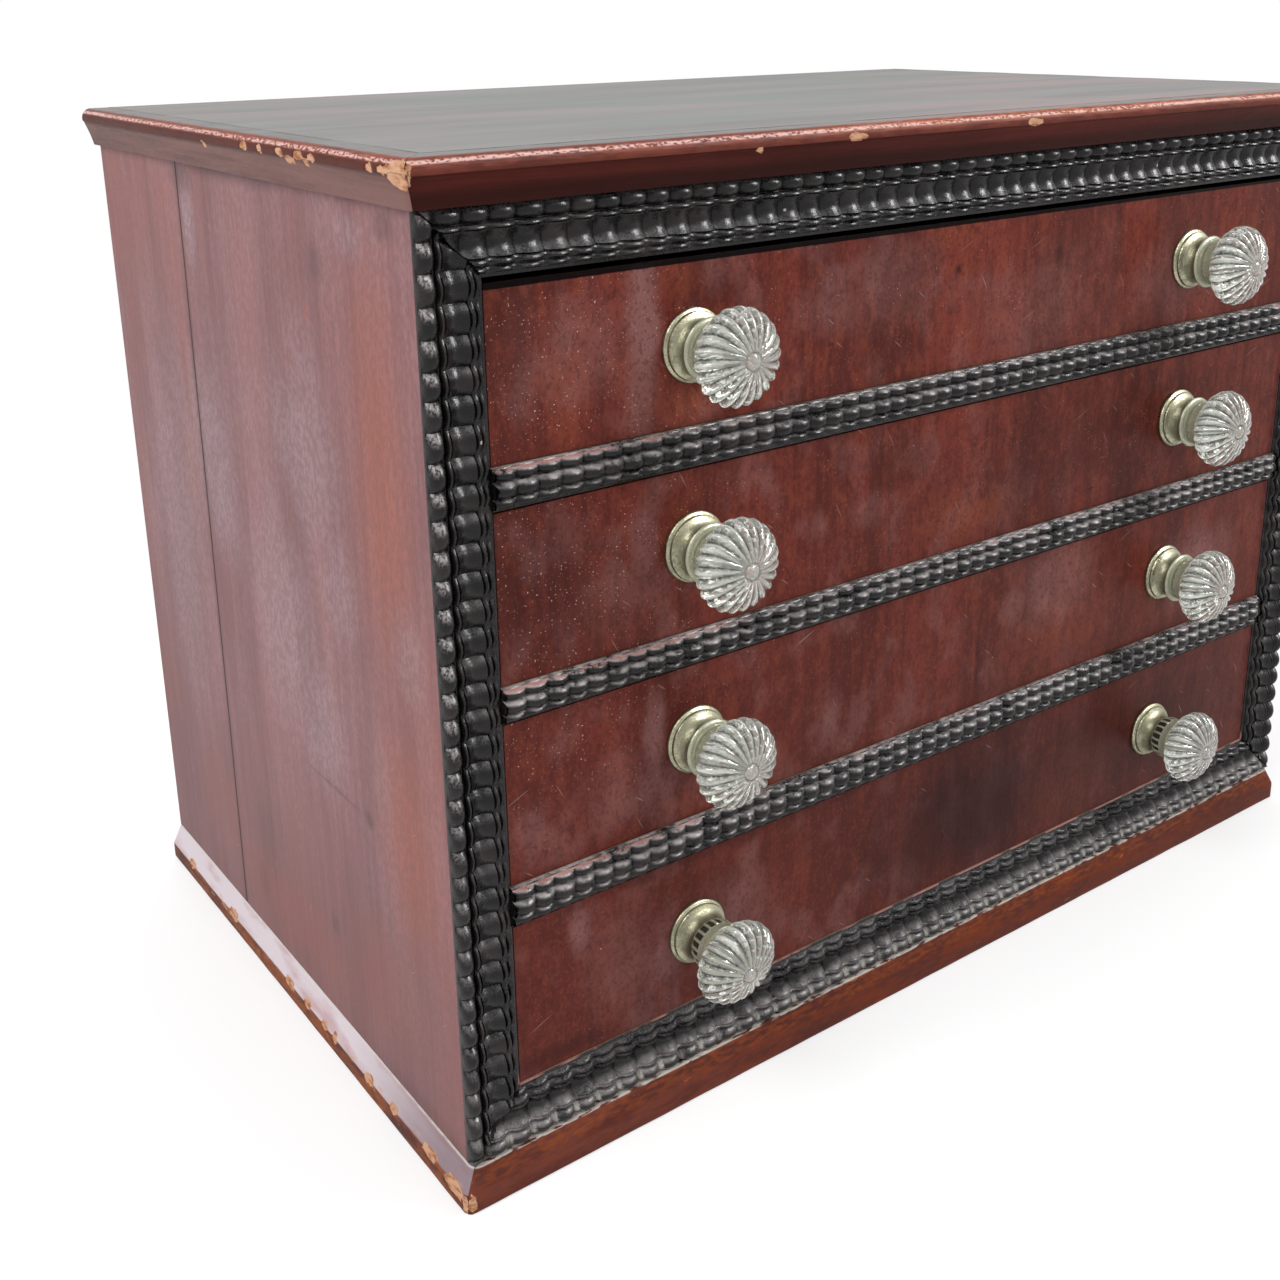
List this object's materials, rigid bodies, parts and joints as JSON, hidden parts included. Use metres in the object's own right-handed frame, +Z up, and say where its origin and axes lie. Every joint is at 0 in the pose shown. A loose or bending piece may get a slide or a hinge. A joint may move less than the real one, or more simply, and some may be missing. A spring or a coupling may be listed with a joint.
{
  "type": "tabletop chest of drawers",
  "caption": "Small mahogany tabletop chest of stacked sliding drawers, with black ripple mouldings, swirled glass knobs on brass roses and a low plinth.",
  "frame": {"origin": "on the floor, middle of the width, in the plane of the case's front edge, under the plinth's front piece", "axes": "+X to the right seen from the front, +Y from front to back, +Z up"},
  "size_m": [0.4998, 0.3308, 0.3728],
  "materials": {
    "mahogany_side": "old waxed mahogany, vertical grain, light bloom",
    "mahogany_top": "faded grey brown mahogany top",
    "mahogany_moulding": "worn polished mahogany moulding",
    "mahogany_drawer": "dark red mahogany drawer fronts",
    "ebonised": "satin black ripple moulding",
    "carcass_wood": "plain inner wood",
    "aged_brass": "pale aged brass",
    "pressed_glass": "clear pressed glass",
    "iron": "dull dark iron"
  },
  "bodies": {
    "case": {"back_nails": "iron", "back_panel": "carcass_wood", "carcass_bottom": "carcass_wood", "carcass_top": "carcass_wood", "divider_1": "carcass_wood", "divider_2": "carcass_wood", "divider_3": "carcass_wood", "drawer_stops": "carcass_wood", "plinth_back": "carcass_wood", "plinth_front": "mahogany_moulding", "plinth_left": "mahogany_moulding", "plinth_right": "mahogany_moulding", "plinth_screws": "iron", "ripple_frame_bottom": "ebonised", "ripple_frame_left": "ebonised", "ripple_frame_right": "ebonised", "ripple_frame_top": "ebonised", "ripple_rail_1": "ebonised", "ripple_rail_2": "ebonised", "ripple_rail_3": "ebonised", "side_left_back": "mahogany_side", "side_left_front": "mahogany_side", "side_right_back": "mahogany_side", "side_right_front": "mahogany_side", "top_board": "mahogany_top", "top_moulding_front": "mahogany_moulding", "top_moulding_left": "mahogany_moulding", "top_moulding_right": "mahogany_moulding"},
    "drawer_1": {"drawer_1_back": "carcass_wood", "drawer_1_bottom": "carcass_wood", "drawer_1_front": "mahogany_drawer", "drawer_1_knob_bolts": "iron", "drawer_1_knob_heads": "pressed_glass", "drawer_1_knob_roses": "aged_brass", "drawer_1_side_left": "carcass_wood", "drawer_1_side_right": "carcass_wood"},
    "drawer_2": {"drawer_2_back": "carcass_wood", "drawer_2_bottom": "carcass_wood", "drawer_2_front": "mahogany_drawer", "drawer_2_knob_bolts": "iron", "drawer_2_knob_heads": "pressed_glass", "drawer_2_knob_roses": "aged_brass", "drawer_2_side_left": "carcass_wood", "drawer_2_side_right": "carcass_wood"},
    "drawer_3": {"drawer_3_back": "carcass_wood", "drawer_3_bottom": "carcass_wood", "drawer_3_front": "mahogany_drawer", "drawer_3_knob_bolts": "iron", "drawer_3_knob_heads": "pressed_glass", "drawer_3_knob_roses": "aged_brass", "drawer_3_side_left": "carcass_wood", "drawer_3_side_right": "carcass_wood"},
    "drawer_4": {"drawer_4_back": "carcass_wood", "drawer_4_bottom": "carcass_wood", "drawer_4_front": "mahogany_drawer", "drawer_4_knob_bolts": "iron", "drawer_4_knob_heads": "pressed_glass", "drawer_4_knob_roses": "aged_brass", "drawer_4_side_left": "carcass_wood", "drawer_4_side_right": "carcass_wood"}
  },
  "joints": [
    {"name": "drawer_1_slide", "type": "slide", "parent": "case", "child": "drawer_1", "axis": [0, -1, 0], "range_m": [0, 0.24]},
    {"name": "drawer_2_slide", "type": "slide", "parent": "case", "child": "drawer_2", "axis": [0, -1, 0], "range_m": [0, 0.24]},
    {"name": "drawer_3_slide", "type": "slide", "parent": "case", "child": "drawer_3", "axis": [0, -1, 0], "range_m": [0, 0.24]},
    {"name": "drawer_4_slide", "type": "slide", "parent": "case", "child": "drawer_4", "axis": [0, -1, 0], "range_m": [0, 0.24]}
  ]
}
